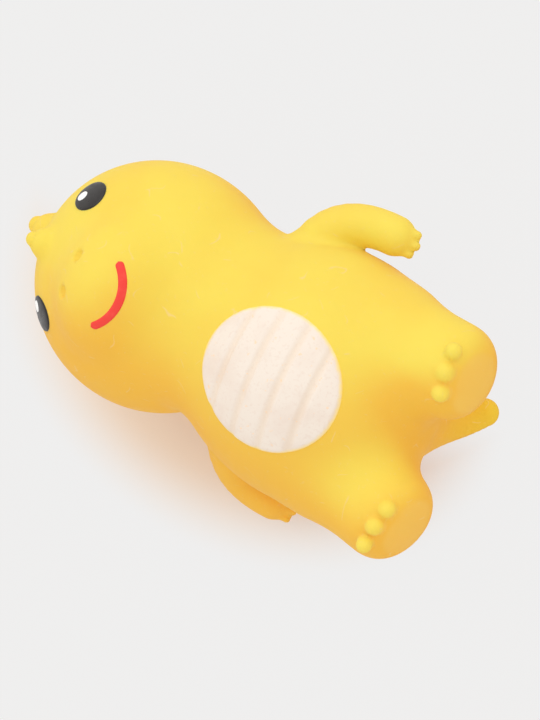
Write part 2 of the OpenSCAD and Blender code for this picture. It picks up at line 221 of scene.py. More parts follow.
def srgb(red, green, blue):
    """Linear colour from the 0 to 255 values that a picture shows."""
    def linear(c):
        c = c / 255
        return c / 12.92 if c <= 0.04045 else ((c + 0.055) / 1.055) ** 2.4
    return (linear(red), linear(green), linear(blue), 1.0)


# The yellow and the orange below are lit and shaded copies of the rubber's colour (painted shade); the
# orange also gives a random mottle
LIT_YELLOW = srgb(255, 248, 106)
SHADE_AND_MOTTLE_ORANGE = srgb(255, 178, 62)
# Painted light: paler colour of the lit left arm and of the thin toes
LIT_LEMON = srgb(255, 252, 110)
LIME = srgb(248, 232, 70)
# Painted shade: peach colour of the soles
SOLE_SHADE_PEACH = srgb(255, 226, 116)
GLOW_ORANGE = srgb(255, 216, 80)
GLOW_SHARE = 0.38
UNDER_SHARE = 0.75
POWDER = srgb(255, 243, 196)
CREAM = srgb(237, 224, 210)
CREAM_SHADE = srgb(231, 213, 198)
# Painted shade in the grooves between the ribs
GROOVE_SHADE_TAN = srgb(236, 204, 164)
PAINT_GAP = srgb(255, 206, 150)
PAINT_RIM = srgb(255, 226, 130)
EYE_BLACK = srgb(36, 32, 30)
EYE_WORN = srgb(52, 47, 44)
EYE_GLOSS = 0.32
INK_GLOSS = 0.4
SMILE_RED = srgb(240, 60, 50)
SMILE_WORN = srgb(250, 92, 74)
GLINT_WHITE = srgb(252, 252, 250)
GLINT_WORN = srgb(240, 240, 236)
# Warm floor colour, seen only near the toy: a painted glow of light through the rubber
FLOOR_PAINTED_GLOW = srgb(234, 213, 190)
BACKDROP_GREY = srgb(239, 239, 239)


# Distance fields of the forms

def ellipsoid(p, at, half):
    """Near distance to an ellipsoid."""
    q = p - at
    inner = np.linalg.norm(q / half, axis=-1)
    outer = np.linalg.norm(q / (half * half), axis=-1)
    return inner * (inner - 1) / np.maximum(outer, 1e-9)


def egg(p, at, half, fullness):
    """Near distance to an ellipsoid that is fuller towards +X."""
    swell = 1 + fullness * np.clip((p[..., 0] - at[0]) / half[0], -1, 1)
    q = p.copy()
    q[..., 1] = at[1] + (p[..., 1] - at[1]) / swell
    q[..., 2] = at[2] + (p[..., 2] - at[2]) / swell
    return ellipsoid(q, at, half)


def tube(p, path, radii):
    """Distance to a tapered tube with round ends along a path."""
    best = np.full(p.shape[:-1], 1e6)
    for a, b, ra, rb in zip(path[:-1], path[1:], radii[:-1], radii[1:]):
        along = b - a
        t = np.clip(((p - a) @ along) / (along @ along), 0, 1)
        near = a + t[..., None] * along
        best = np.minimum(best, np.linalg.norm(p - near, axis=-1) - (ra + (rb - ra) * t))
    return best


def smooth_step(values, low, high):
    t = np.clip((values - low) / (high - low), 0, 1)
    return t * t * (3 - 2 * t)


def ball(p, at, r):
    return np.linalg.norm(p - at, axis=-1) - r


def join(a, b, soft):
    """Union of two fields with a fillet."""
    h = np.clip(0.5 + 0.5 * (b - a) / soft, 0, 1)
    return b + (a - b) * h - soft * h * (1 - h)


def cut(a, b, soft):
    """What of a lies inside b as well, with a rounded edge."""
    return -join(-a, -b, soft)


def bezier(points, t):
    s = 1 - t
    return (s ** 3 * points[0] + 3 * s * s * t * points[1]
            + 3 * s * t * t * points[2] + t ** 3 * points[3])


def along_path(points, radii, taper=1.0):
    """Points and radii of a limb that follows a curve; a larger taper thins it sooner."""
    ts = np.linspace(0, 1, PATH_STEPS + 1)
    thickness = [radii[1] + (radii[0] - radii[1]) * (1 - t) ** taper for t in ts]
    return [bezier(points, t) for t in ts], thickness


def folded(p):
    """The points with their right side folded onto the left one."""
    q = p.copy()
    q[..., 1] = np.abs(q[..., 1])
    return q


def arm_points(side):
    """Curve of an arm from its shoulder to its hand, as on the left side."""
    reach, drop = ARM_REACH[side], HAND_DROP[side]
    out = FLANK_Y + ARM_STAND[side] - SHOULDER[1]
    steps = ((0, 0, 0), (0, 0.82 * out, -0.5 * drop), (reach / 2, out, -0.9 * drop), (reach, out, -drop))
    return [SHOULDER + np.array(step) for step in steps]


SIDES = {"left": np.ones(3), "right": np.array([1.0, -1.0, 1.0])}
ARM_POINTS = {side: arm_points(side) for side in SIDES}
TAIL_POINTS = [
    TAIL_ROOT,
    TAIL_ROOT + np.array([TAIL_L / 3, 0, -TAIL_DROP / 2]),
    TAIL_ROOT + np.array([TAIL_L / 1.5, TAIL_SWEEP / 2, -TAIL_DROP]),
    TAIL_ROOT + np.array([TAIL_L, TAIL_SWEEP, -TAIL_DROP]),
]


def one_arm(q, points):
    field = tube(q, *along_path(points, ARM_R, ARM_TAPER))
    for k in (-1, 0, 1):
        way = np.array([math.cos(k * FINGER_FAN), math.sin(k * FINGER_FAN), 0])
        root = points[3] + (ARM_R[1] - FINGER_R) * way
        tip = root + FINGER_L * np.array([1, k / 8, 0])
        field = join(field, tube(q, [root, tip], [FINGER_R, 0.8 * FINGER_R]), SMALL_SOFT)
    return field


def arm_field(p):
    """Distance to the nearer arm; points near the middle plane count as far away."""
    field = np.full(p.shape[:-1], 1e3)
    for side, flip in SIDES.items():
        near = p[..., 1] * flip[1] > ARM_NEAR
        field[near] = one_arm(p[near] * flip, ARM_POINTS[side])
    return field


def leg_field(p):
    q = folded(p)
    sole = HIP + LEG_L * LEG_WAY
    ankle = HIP + (LEG_L - SOLE_ROUND) * LEG_WAY
    stump = tube(q, [HIP, ankle, sole], [LEG_R[0], LEG_R[1], LEG_R[1]])
    dome = sole + (SOLE_PROUD - SOLE_DOME) * LEG_WAY
    field = cut(stump, ball(q, dome, SOLE_DOME), SOLE_ROUND)
    return join(field, toe_field(q), TOE_SOFT)


def toe_field(q):
    """Distance to the nearest toe of the left foot."""
    lift = LEG_R[1] - TOE_R
    across = np.array([-math.sin(LEG_SPLAY), math.cos(LEG_SPLAY), 0])
    up = np.cross(LEG_WAY, across)
    sole = HIP + LEG_L * LEG_WAY
    field = np.full(q.shape[:-1], 1e6)
    for k in (-1, 0, 1):
        toe = sole + (TOE_OUT + k * TOE_PITCH) * across + lift * math.cos(TOE_BOW * k) * up
        field = np.minimum(field, ball(q, toe, TOE_R))
    return field


def tail_field(p):
    flat = np.array([1, 1, 1 / TAIL_FLAT])
    path, radii = along_path([q * flat for q in TAIL_POINTS], TAIL_R)
    return tube(p * flat, path, radii)


def crest_field(p):
    field = np.full(p.shape[:-1], 1e6)
    for angle, size in zip(SPINE_ANGLES, SPINE_SIZES):
        a = math.radians(angle)
        out = np.array([-math.cos(a), 0, -math.sin(a)])
        root = HEAD_AT + np.array([HEAD_HALF[0], 0, HEAD_HALF[2]]) * out
        tip = root + out * size * (SPINE_H - 0.5 * SPINE_R)
        foot = root - out * size * SPINE_R
        field = np.minimum(field, tube(p, [foot, root, tip], np.array([1, 0.95, 0.5]) * SPINE_R * size))
    return field


def torso_field(p):
    return egg(p, TORSO_AT, TORSO_HALF, TORSO_FULLNESS)


def neck_soft(p):
    """Fillet of the neck: wide on the belly side and by the raised arm, sharp at the other flank."""
    front = smooth_step(p[..., 2], *NECK_FRONT)
    left = NECK_LEFT * smooth_step(p[..., 1], *NECK_FLANK)
    return NECK_SOFT[0] + (NECK_SOFT[1] - NECK_SOFT[0]) * np.maximum(front, left)


def muzzle_top(x, y):
    """Height of the muzzle at a place on it."""
    share = 1 - ((x - MUZZLE_AT[0]) / MUZZLE_HALF[0]) ** 2 - (y / MUZZLE_HALF[1]) ** 2
    return MUZZLE_AT[2] + MUZZLE_HALF[2] * math.sqrt(share)


def skin_field(p):
    """Distance to the toy's whole skin."""
    head = join(ellipsoid(p, HEAD_AT, HEAD_HALF), ellipsoid(p, MUZZLE_AT, MUZZLE_HALF), MUZZLE_SOFT)
    head = join(head, crest_field(p), SPINE_SOFT)
    body = join(torso_field(p), head, neck_soft(p))
    body = join(body, leg_field(p), LEG_SOFT)
    body = join(body, tail_field(p), TAIL_SOFT)
    body = join(body, arm_field(p), ARM_SOFT)
    nostril = NOSTRIL_AT + np.array([0, 0, muzzle_top(NOSTRIL_AT[0], NOSTRIL_AT[1])])
    body = cut(body, -ball(folded(p), nostril, NOSTRIL_R), SMALL_SOFT)
    return cut(body, -p[..., 2], REST_SOFT)


def slope(p, step=0.05):
    """Direction in which the skin's distance grows, from four samples."""
    corners = np.array([[1, -1, -1], [-1, -1, 1], [-1, 1, -1], [1, 1, 1]], float)
    return sum(c * skin_field(p + c * step)[..., None] for c in corners) / (4 * step)


def outward(p, step=0.05):
    """Direction out of the skin; a larger step takes in the form further round."""
    g = slope(p, step)
    return g / np.maximum(np.linalg.norm(g, axis=-1, keepdims=True), 1e-9)


def settle(p, rounds=4):
    """Moves points onto the skin."""
    for _ in range(rounds):
        g = slope(p)
        size = np.maximum((g * g).sum(-1, keepdims=True), 1e-6)
        p = p - skin_field(p)[..., None] * g / size
    return p


# The skin as one mesh

def sample_grid():
    low = np.array(cad_low) / MM - GRID_MARGIN
    high = np.array(cad_high) / MM + GRID_MARGIN
    counts = np.ceil((high - low) / GRID_STEP).astype(int)
    axes = [low[i] + GRID_STEP * np.arange(counts[i]) for i in range(3)]
    values = np.empty(counts)
    for i, x in enumerate(axes[0]):
        plane = np.stack(np.meshgrid([x], axes[1], axes[2], indexing="ij"), axis=-1)
        values[i] = skin_field(plane)[0]
    return low, values


def crossing_points(values):
    """One point in each grid cell that the surface crosses, and the cells' numbers."""
    shape = np.array(values.shape) - 1
    total = np.zeros((*shape, 3))
    count = np.zeros(shape)
    corner = lambda c: values[tuple(slice(c[i], c[i] + shape[i]) for i in range(3))]
    for axis in range(3):
        others = [i for i in range(3) if i != axis]
        for u in (0, 1):
            for v in (0, 1):
                a = np.zeros(3, int)
                a[others[0]], a[others[1]] = u, v
                b = a.copy()
                b[axis] = 1
                va, vb = corner(a), corner(b)
                hit = (va < 0) != (vb < 0)
                t = np.where(hit, va / np.where(hit, va - vb, 1), 0)
                place = a + t[..., None] * (b - a)
                total += np.where(hit[..., None], place, 0)
                count += hit
    cells = np.argwhere(count > 0)
    numbers = np.full(shape, -1)
    numbers[tuple(cells.T)] = np.arange(len(cells))
    points = cells + total[tuple(cells.T)] / count[tuple(cells.T)][:, None]
    return points, numbers


def crossing_quads(values, numbers):
    """A quad round each grid edge that the surface crosses."""
    quads = []
    for axis in range(3):
        u, v = (axis + 1) % 3, (axis + 2) % 3
        first = np.take(values, range(values.shape[axis] - 1), axis) < 0
        second = np.take(values, range(1, values.shape[axis]), axis) < 0
        edges = np.argwhere(first != second)
        edges = edges[(edges[:, u] > 0) & (edges[:, v] > 0)]
        leaving = first[tuple(edges.T)]
        ring = []
        for du, dv in ((1, 1), (0, 1), (0, 0), (1, 0)):
            cell = edges.copy()
            cell[:, u] -= du
            cell[:, v] -= dv
            ring.append(numbers[tuple(cell.T)])
        ring = np.stack(ring, axis=1)
        ring[~leaving] = ring[~leaving][:, ::-1]
        quads.append(ring)
    return np.concatenate(quads)


def whole_skin():
    low, values = sample_grid()
    points, numbers = crossing_points(values)
    quads = crossing_quads(values, numbers)
    return settle(low + GRID_STEP * points), quads


# Cutting the skin into pieces

def bend_planes():
    """A point and a direction of each plane where a piece starts, by the piece's name."""
    planes = {"head": (np.array([HEAD_BEND[0], 0, 0]), np.array([-1.0, 0, 0]))}
    planes["tail"] = (np.array([TAIL_BEND[0], 0, 0]), np.array([1.0, 0, 0]))
    planes["belly"] = (BELLY_START, BELLY_WAY / np.linalg.norm(BELLY_WAY))
    for side, flip in SIDES.items():
        elbow = bezier(ARM_POINTS[side], ARM_BEND[side])
        along = bezier(ARM_POINTS[side], ARM_BEND[side] + 0.01) - elbow
        planes["arm_" + side] = (elbow * flip, along / np.linalg.norm(along) * flip)
        planes["leg_" + side] = ((HIP + LEG_WAY * LEG_BEND[0]) * flip, LEG_WAY * flip)
    return planes


PLANES = bend_planes()


def past(name, p):
    """How far points are beyond a piece's plane."""
    at, way = PLANES[name]
    return (p - at) @ way


def on_side(name, p):
    return p[:, 1] > 0 if name.endswith("left") else p[:, 1] < 0


def regions(p):
    """Which points may belong to each piece, apart from its plane."""
    arm = np.abs(arm_field(p)) < np.abs(torso_field(p))
    high = p[:, 2] > LIMB_SPLIT_Z
    clear = p[:, 0] > HEAD_BEND[0]
    found = {"head": np.ones(len(p), bool), "tail": ~high & clear}
    for side in ("left", "right"):
        found["arm_" + side] = arm & clear & on_side("arm_" + side, p)
        found["leg_" + side] = high & ~arm & clear & on_side("leg_" + side, p)
    limbs = np.zeros(len(p), bool)
    for name in ("tail", "leg_left", "leg_right", "arm_left", "arm_right"):
        limbs |= found[name] & (past(name, p) > 0)
    found["belly"] = clear & ~limbs
    return found


def cut_along(mesh, name):
    """Adds edges where a piece's plane crosses its own region of the skin."""
    at, way = PLANES[name]
    centres = np.array([f.calc_center_median() for f in mesh.faces])
    near = regions(centres)[name] & (np.abs(past(name, centres)) < 2 * GRID_STEP)
    faces = [f for f, take in zip(mesh.faces, near) if take]
    edges = {e for f in faces for e in f.edges}
    verts = {v for f in faces for v in f.verts}
    bmesh.ops.bisect_plane(
        mesh, geom=[*faces, *edges, *verts], dist=0.02, plane_co=at, plane_no=way)


def skin_pieces():
    """The skin's points, and the faces of each piece."""
    points, quads = whole_skin()
    mesh = bmesh.new()
    verts = [mesh.verts.new(p) for p in points]
    for quad in quads:
        mesh.faces.new([verts[i] for i in quad])
    for name in PLANES:
        cut_along(mesh, name)
    mesh.verts.index_update()
    points = np.array([v.co for v in mesh.verts])
    faces = [[v.index for v in f.verts] for f in mesh.faces]
    centres = np.array([f.calc_center_median() for f in mesh.faces])
    mesh.free()
    owner = np.full(len(faces), "torso", dtype=object)
    for name, mask in regions(centres).items():
        owner[mask & (past(name, centres) > 0)] = name
    return points, {name: [f for f, o in zip(faces, owner) if o == name] for name in sorted(set(owner))}


# Objects

def new_object(name, points, faces, normals=None):
    """Mesh object from points in millimetres."""
    data = bpy.data.meshes.new(name)
    data.from_pydata([Vector(p) * MM for p in points], [], [list(map(int, f)) for f in faces])
    data.validate()
    data.update()
    data.polygons.foreach_set("use_smooth", [True] * len(data.polygons))
    if normals is not None:
        data.normals_split_custom_set_from_vertices([tuple(n) for n in normals])
    piece = bpy.data.objects.new(name, data)
    bpy.context.scene.collection.objects.link(piece)
    return piece


def add_values(piece, name, values):
    layer = piece.data.attributes.new(name, "FLOAT", "POINT")
    layer.data.foreach_set("value", np.asarray(values, np.float32))


def add_tints(piece, points, normals):
    """Marks what is painted warmer or paler, and what lets more light through.

    Creases and the sides turned away from the key light are painted warmer: painted shade.
    The raised left arm is painted paler as the lit side, and the toes paler as painted light through thin
    rubber.
    The tail's end is greener, and the soles are painted peach as painted shade.
    """
    open_share = [skin_field(points + normals * h) / h for h in CREASE_REACHES]
    closed_in = [smooth_step(1 - share, *CREASE_RANGE) for share in open_share]
    crease = sum(closed_in) / len(CREASE_REACHES)
    toes = 1 - smooth_step(toe_field(folded(points)), *TOE_EDGE)
    facing = folded(normals) @ LEG_WAY * (np.abs(leg_field(points)) < 1)
    away = smooth_step(-(outward(points, TINT_STEP) @ BRIGHT_SIDE), *AWAY_RANGE)
    on_left_arm = (1 - smooth_step(arm_field(points), *ARM_EDGE)) * (points[:, 1] > 0)
    calm = 1 - ARM_CALM * on_left_arm
    on_tail = 1 - smooth_step(tail_field(points), *TAIL_EDGE)
    # Painted shade: creases and the sides turned away from the key light are made warmer
    add_values(piece, "painted_shade", (CREASE_PAINTED_SHADE * crease + AWAY_PAINTED_SHADE * away) * calm)
    add_values(piece, "under", smooth_step(-normals[:, 2], *UNDER_RANGE) * calm)
    # Painted light: the lit left arm and the thin toes are made paler
    add_values(piece, "tip", np.maximum(LEFT_ARM_PAINTED_LIGHT * on_left_arm, toes))
    add_values(piece, "lime", on_tail * smooth_step(points[:, 0], *TAIL_LIME))
    # Painted shade on the soles
    add_values(piece, "sole", smooth_step(facing, *SOLE_RANGE) * (1 - toes))


def skin_objects():
    points, pieces = skin_pieces()
    made = {}
    for name, faces in pieces.items():
        used = np.unique(np.concatenate([np.array(f) for f in faces]))
        number = {int(old): new for new, old in enumerate(used)}
        local = points[used]
        normals = outward(local)
        piece = new_object("skin_" + name, local, [[number[i] for i in f] for f in faces], normals)
        add_tints(piece, local, normals)
        made[name] = piece
    return made


def grid_faces(rows, cols, closed):
    """Quads of a grid of points; closed joins its last column to its first."""
    faces = []
    for r in range(rows - 1):
        for c in range(cols if closed else cols - 1):
            d = (c + 1) % cols
            faces.append([r * cols + c, r * cols + d, (r + 1) * cols + d, (r + 1) * cols + c])
    return faces


def dropped(points, way, rounds=8):
    """Moves points along one direction until they lie on the skin."""
    way = np.asarray(way, float)
    for _ in range(rounds):
        fall = slope(points) @ way
        points = points - (skin_field(points) / np.maximum(fall, 0.2))[:, None] * way
    return points


def oval_patch(name, at, way, axes, half, height, rows=20, cols=64):
    """Oval on the skin, whose height above it follows a rule of the place on the oval."""
    shares = np.linspace(0.02, 1, rows)
    angles = np.linspace(0, 2 * np.pi, cols, endpoint=False)
    s, a = (g.ravel() for g in np.meshgrid(shares, angles, indexing="ij"))
    flat = np.stack([s * half[0] * np.cos(a), s * half[1] * np.sin(a)], axis=1)
    points = dropped(at + flat @ np.array(axes), way)
    points = points + outward(points) * height(s, flat)[:, None]
    faces = grid_faces(rows, cols, True) + [list(range(cols))[::-1]]
    piece = new_object(name, points, faces)
    add_values(piece, "edge", s)
    return piece


def eye_frame(side, up, out):
    """Centre on the head's surface, outward direction and axes of an eye."""
    way = np.array([-math.sin(up) * math.cos(out), side * math.sin(out), math.cos(up) * math.cos(out)])
    long = np.array([math.cos(up), 0, math.sin(up)])
    return HEAD_AT + way * (HEAD_HALF[2] + 3), way, [long, np.cross(way, long)]


def domed(low, rise):
    """Height rule of a printed layer that is thickest in its middle."""
    return lambda s, flat: low + rise * np.sqrt(np.clip(1 - s ** 4, 0, 1)) - 0.3 * (s > 0.995)


def groove_share(along):
    """How deep in a groove between two ribs a place along the belly panel is, from 0 to 1."""
    pitch = 2 * BELLY_HALF[0] / BELLY_RIBS
    ribs = (along + BELLY_HALF[0]) / pitch
    return 1 - smooth_step(np.abs(ribs - np.round(ribs)) * pitch, 0, RIB_GAP)


def rib_height(s, flat):
    """Height rule of the belly panel: ribs across it, and a rounded rim."""
    groove = groove_share(flat[:, 0])
    rim = np.sqrt(np.clip(1 - smooth_step(s, 0.9, 1.0) ** 2, 0, 1))
    return RIB_H * rim * (1 - 0.75 * groove) - 0.25 * (s > 0.995)


def belly_patch():
    at = np.array([*BELLY_AT, TORSO_AT[2] + TORSO_HALF[2]])
    axes = [np.array([1.0, 0, 0]), np.array([0, 1.0, 0])]
    panel = oval_patch("belly_panel_ribbed", at, (0, 0, 1), axes, BELLY_HALF, rib_height, rows=90, cols=160)
    along = np.array([v.co[0] for v in panel.data.vertices]) / MM - BELLY_AT[0]
    add_values(panel, "groove", groove_share(along))
    return panel


def eye_patches():
    made = {}
    for word, side in (("left", 1), ("right", -1)):
        at, way, axes = eye_frame(side, EYE_UP, EYE_OUT)
        made["eye_" + word] = oval_patch("eye_" + word, at, way, axes, EYE_HALF, domed(0.12, 0.33))
        at, way, axes = eye_frame(side, GLINT_UP, GLINT_OUT)
        made["glint_" + word] = oval_patch(
            "glint_" + word, at, way, axes, GLINT_HALF, domed(0.4, 0.2), rows=8, cols=32)
    return made


def smile_patch(rows=72, cols=11):
    """Painted line along the smile's curve, round at its ends."""
    along, across = np.linspace(-1, 1, rows), np.linspace(-1, 1, cols)
    u, v = (g.ravel() for g in np.meshgrid(along, across, indexing="ij"))
    length = SMILE_R * SMILE_HALF
    over = np.clip(np.abs(u) * length - (length - SMILE_W / 2), 0, None)
    width = SMILE_W / 2 * np.sqrt(np.clip(1 - (over / (SMILE_W / 2)) ** 2, 0.0004, 1))
    radius = SMILE_R + v * width
    points = np.stack([
        SMILE_AT[0] + radius * np.cos(u * SMILE_HALF),
        SMILE_AT[1] + radius * np.sin(u * SMILE_HALF),
        np.full(len(u), MUZZLE_AT[2] + MUZZLE_HALF[2])], axis=1)
    points = dropped(points, (0, 0, 1))
    points = points + outward(points) * (0.32 * (1 - v ** 4) - 0.06)[:, None]
    faces = [f[::-1] for f in grid_faces(rows, cols, False)]
    return new_object("smile", points, faces)


def plug_disc(rings=10, cols=48):
    """Flush end of the filling plug, with a rounded rim in its hole."""
    shares = np.linspace(0.03, 1, rings)
    angles = np.linspace(0, 2 * np.pi, cols, endpoint=False)
    s, a = (g.ravel() for g in np.meshgrid(shares, angles, indexing="ij"))
    dip = 0.25 * smooth_step(s, 0.8, 1.0)
    points = np.stack([
        PLUG_AT[0] + PLUG_R * s * np.cos(a), PLUG_AT[1] + PLUG_R * s * np.sin(a), dip - 0.04], axis=1)
    faces = [f[::-1] for f in grid_faces(rings, cols, True)] + [list(range(cols))]
    return new_object("plug", points, faces)


# Materials

def new_material(name):
    material = bpy.data.materials.new(name)
    material.use_nodes = True
    nodes = material.node_tree.nodes
    return material, nodes, material.node_tree.links, nodes["Principled BSDF"]


def mix_colours(nodes, links, share, first, second):
    """Colour between two others; each may be a colour or a socket, and so may the share."""
    node = nodes.new("ShaderNodeMix")
    node.data_type = "RGBA"
    for socket, value in ((node.inputs[0], share), (node.inputs[6], first), (node.inputs[7], second)):
        if isinstance(value, bpy.types.NodeSocket):
            links.new(value, socket)
        else:
            socket.default_value = value
    return node.outputs[2]


def maths(nodes, links, operation, first, second=0.0):
    node = nodes.new("ShaderNodeMath")
    node.operation = operation
    node.use_clamp = True
    for socket, value in ((node.inputs[0], first), (node.inputs[1], second)):
        if isinstance(value, bpy.types.NodeSocket):
            links.new(value, socket)
        else:
            socket.default_value = value
    return node.outputs[0]


def noise(nodes, links, scale, detail=2.0, roughness=0.5, distortion=0.0):
    where = nodes.new("ShaderNodeTexCoord")
    node = nodes.new("ShaderNodeTexNoise")
    node.inputs["Scale"].default_value = scale
    node.inputs["Detail"].default_value = detail
    node.inputs["Roughness"].default_value = roughness
    node.inputs["Distortion"].default_value = distortion
    links.new(where.outputs["Object"], node.inputs["Vector"])
    return node.outputs["Fac"]


def between(nodes, links, value, low, high, to_low=0.0, to_high=1.0):
    """A value moved from one range to another, with soft ends."""
    node = nodes.new("ShaderNodeMapRange")
    node.interpolation_type = "SMOOTHSTEP"
    links.new(value, node.inputs["Value"])
    node.inputs["From Min"].default_value = low
    node.inputs["From Max"].default_value = high
    node.inputs["To Min"].default_value = to_low
    node.inputs["To Max"].default_value = to_high
    return node.outputs["Result"]


def attribute(nodes, name):
    node = nodes.new("ShaderNodeAttribute")
    node.attribute_name = name
    return node.outputs["Fac"]


def rub_marks(nodes, links):
    """Short pale curved strokes, as rubs leave on soft rubber: pieces of a noise's level lines."""
    level = maths_signed(nodes, links, "SUBTRACT", noise(nodes, links, 235, 0.0), 0.5)
    line = between(nodes, links, maths(nodes, links, "ABSOLUTE", level), 0.0, 0.02, 1.0, 0.0)
    some = between(nodes, links, noise(nodes, links, 290, 0.0), 0.64, 0.72)
    return maths(nodes, links, "MULTIPLY", line, some)


def maths_signed(nodes, links, operation, first, second):
    """As maths, but lets values below zero through."""
    out = maths(nodes, links, operation, first, second)
    out.node.use_clamp = False
    return out


def add_bump(nodes, links, shader, height, strength, distance):
    node = nodes.new("ShaderNodeBump")
    node.inputs["Strength"].default_value = strength
    node.inputs["Distance"].default_value = distance
    links.new(height, node.inputs["Height"])
    links.new(node.outputs["Normal"], shader.inputs["Normal"])


def rubber_material():
    """Powdered yellow rubber with painted shade and light: warmer in its creases and where little light
    falls on it, paler on the lit left arm and the toes.
    """
    material, nodes, links, shader = new_material("soft_yellow_rubber")
    # Painted shade: creases and sides turned away from the key light mixed towards orange
    colour = mix_colours(nodes, links, attribute(nodes, "painted_shade"), LIT_YELLOW, SHADE_AND_MOTTLE_ORANGE)
    # Painted shade: the soles mixed towards peach
    peach = maths(nodes, links, "MULTIPLY", attribute(nodes, "sole"), 0.8)
    colour = mix_colours(nodes, links, peach, colour, SOLE_SHADE_PEACH)
    # Painted light: paler left arm and toes
    colour = mix_colours(nodes, links, attribute(nodes, "tip"), colour, LIT_LEMON)
    colour = mix_colours(nodes, links, attribute(nodes, "lime"), colour, LIME)
    cloud = between(nodes, links, noise(nodes, links, 45, 3.0), 0.35, 0.75, 0.0, 0.16)
    colour = mix_colours(nodes, links, cloud, colour, SHADE_AND_MOTTLE_ORANGE)
    specks = between(nodes, links, noise(nodes, links, 1400, 1.0), 0.66, 0.74, 0.0, 0.12)
    colour = mix_colours(nodes, links, specks, colour, POWDER)
    marks = maths(nodes, links, "MULTIPLY", rub_marks(nodes, links), 0.45)
    colour = mix_colours(nodes, links, marks, colour, POWDER)
    links.new(colour, shader.inputs["Base Color"])
    rough = between(nodes, links, noise(nodes, links, 300, 2.0), 0.3, 0.7, 0.52, 0.68)
    links.new(rough, shader.inputs["Roughness"])
    shader.inputs["Specular IOR Level"].default_value = 0.3
    shader.inputs["Sheen Weight"].default_value = 0.12
    shader.inputs["Sheen Roughness"].default_value = 0.5
    add_bump(nodes, links, shader, noise(nodes, links, 900, 3.0), 0.12, 0.0002)
    let_through(nodes, links, shader)
    return material


def let_through(nodes, links, shader):
    """Lets part of the light pass through the rubber, which warms it."""
    glow = nodes.new("ShaderNodeBsdfTranslucent")
    glow.inputs["Color"].default_value = GLOW_ORANGE
    both = nodes.new("ShaderNodeMixShader")
    share = between(nodes, links, attribute(nodes, "under"), 0.0, 1.0, GLOW_SHARE, UNDER_SHARE)
    links.new(share, both.inputs[0])
    links.new(shader.outputs["BSDF"], both.inputs[1])
    links.new(glow.outputs["BSDF"], both.inputs[2])
    links.new(both.outputs["Shader"], nodes["Material Output"].inputs["Surface"])


def cream_material():
    """Cream paint on the ribbed panel, thin and uneven at its rim, with painted shade in the grooves."""
    material, nodes, links, shader = new_material("cream_belly_paint")
    cloud = between(nodes, links, noise(nodes, links, 120, 3.0), 0.4, 0.8)
    colour = mix_colours(nodes, links, cloud, CREAM, CREAM_SHADE)
    grain = between(nodes, links, noise(nodes, links, 1400, 1.0), 0.55, 0.7, 0.0, 0.5)
    colour = mix_colours(nodes, links, grain, colour, CREAM_SHADE)
    ragged = maths_signed(nodes, links, "MULTIPLY", noise(nodes, links, 700, 2.0), 0.05)
    uneven = maths_signed(nodes, links, "ADD", attribute(nodes, "edge"), ragged)
    spots = between(nodes, links, noise(nodes, links, 760, 2.0), 0.67, 0.74, 0.0, 0.5)
    colour = mix_colours(nodes, links, spots, colour, PAINT_GAP)
    # Painted shade in the grooves between the ribs
    groove_shade = maths(nodes, links, "MULTIPLY", attribute(nodes, "groove"), 0.22)
    colour = mix_colours(nodes, links, groove_shade, colour, GROOVE_SHADE_TAN)
    rim = between(nodes, links, uneven, 0.96, 1.03)
    colour = mix_colours(nodes, links, rim, colour, PAINT_RIM)
    links.new(colour, shader.inputs["Base Color"])
    shader.inputs["Roughness"].default_value = 0.7
    shader.inputs["Specular IOR Level"].default_value = 0.25
    add_bump(nodes, links, shader, noise(nodes, links, 1200, 2.0), 0.15, 0.0002)
    return material


def print_material(name, colour, worn, roughness):
    """Printed ink with a little wear in it."""
    material, nodes, links, shader = new_material(name)
    wear = between(nodes, links, noise(nodes, links, 500, 3.0), 0.45, 0.8, 0.0, 0.5)
    links.new(mix_colours(nodes, links, wear, colour, worn), shader.inputs["Base Color"])
    grain = noise(nodes, links, 800, 2.0)
    rough = between(nodes, links, grain, 0.3, 0.7, roughness - 0.05, roughness + 0.08)
    links.new(rough, shader.inputs["Roughness"])
    shader.inputs["Specular IOR Level"].default_value = 0.4
    return material


def floor_material():
    """Pale warm floor that the camera sees plain, apart from the shadow beside and under the toy, where its
    warm colour is a painted glow of light through the rubber.
    """
    material, nodes, links, shader = new_material("pale_floor")
    # Painted glow: the floor's warm colour near the toy
    shader.inputs["Base Color"].default_value = FLOOR_PAINTED_GLOW
    shader.inputs["Roughness"].default_value = 0.9
    shader.inputs["Specular IOR Level"].default_value = 0.0
    plain = nodes.new("ShaderNodeEmission")
    plain.inputs["Color"].default_value = BACKDROP_GREY
    both = nodes.new("ShaderNodeMixShader")
    where = nodes.new("ShaderNodeTexCoord")
    split = nodes.new("ShaderNodeSeparateXYZ")
    links.new(where.outputs["Object"], split.inputs["Vector"])
    lit_side = between(nodes, links, split.outputs["Y"], *PLAIN_FROM, *PLAIN_SHARE)
    shadow = over_floor(nodes, links, SHADOW_AT, SHADOW_HALF)
    away = between(nodes, links, shadow, *SHADOW_FADE, *PLAIN_SHARE)
    rest = over_floor(nodes, links, REST_AT, REST_HALF)
    beyond = between(nodes, links, rest, *REST_FADE, *PLAIN_SHARE)
    bare = maths(nodes, links, "MINIMUM", maths(nodes, links, "MAXIMUM", lit_side, away), beyond)
    share = maths(nodes, links, "MULTIPLY", seen_straight(nodes, links), bare)
    links.new(share, both.inputs[0])
    links.new(shader.outputs["BSDF"], both.inputs[1])
    links.new(plain.outputs["Emission"], both.inputs[2])
    links.new(both.outputs["Shader"], nodes["Material Output"].inputs["Surface"])
    return material


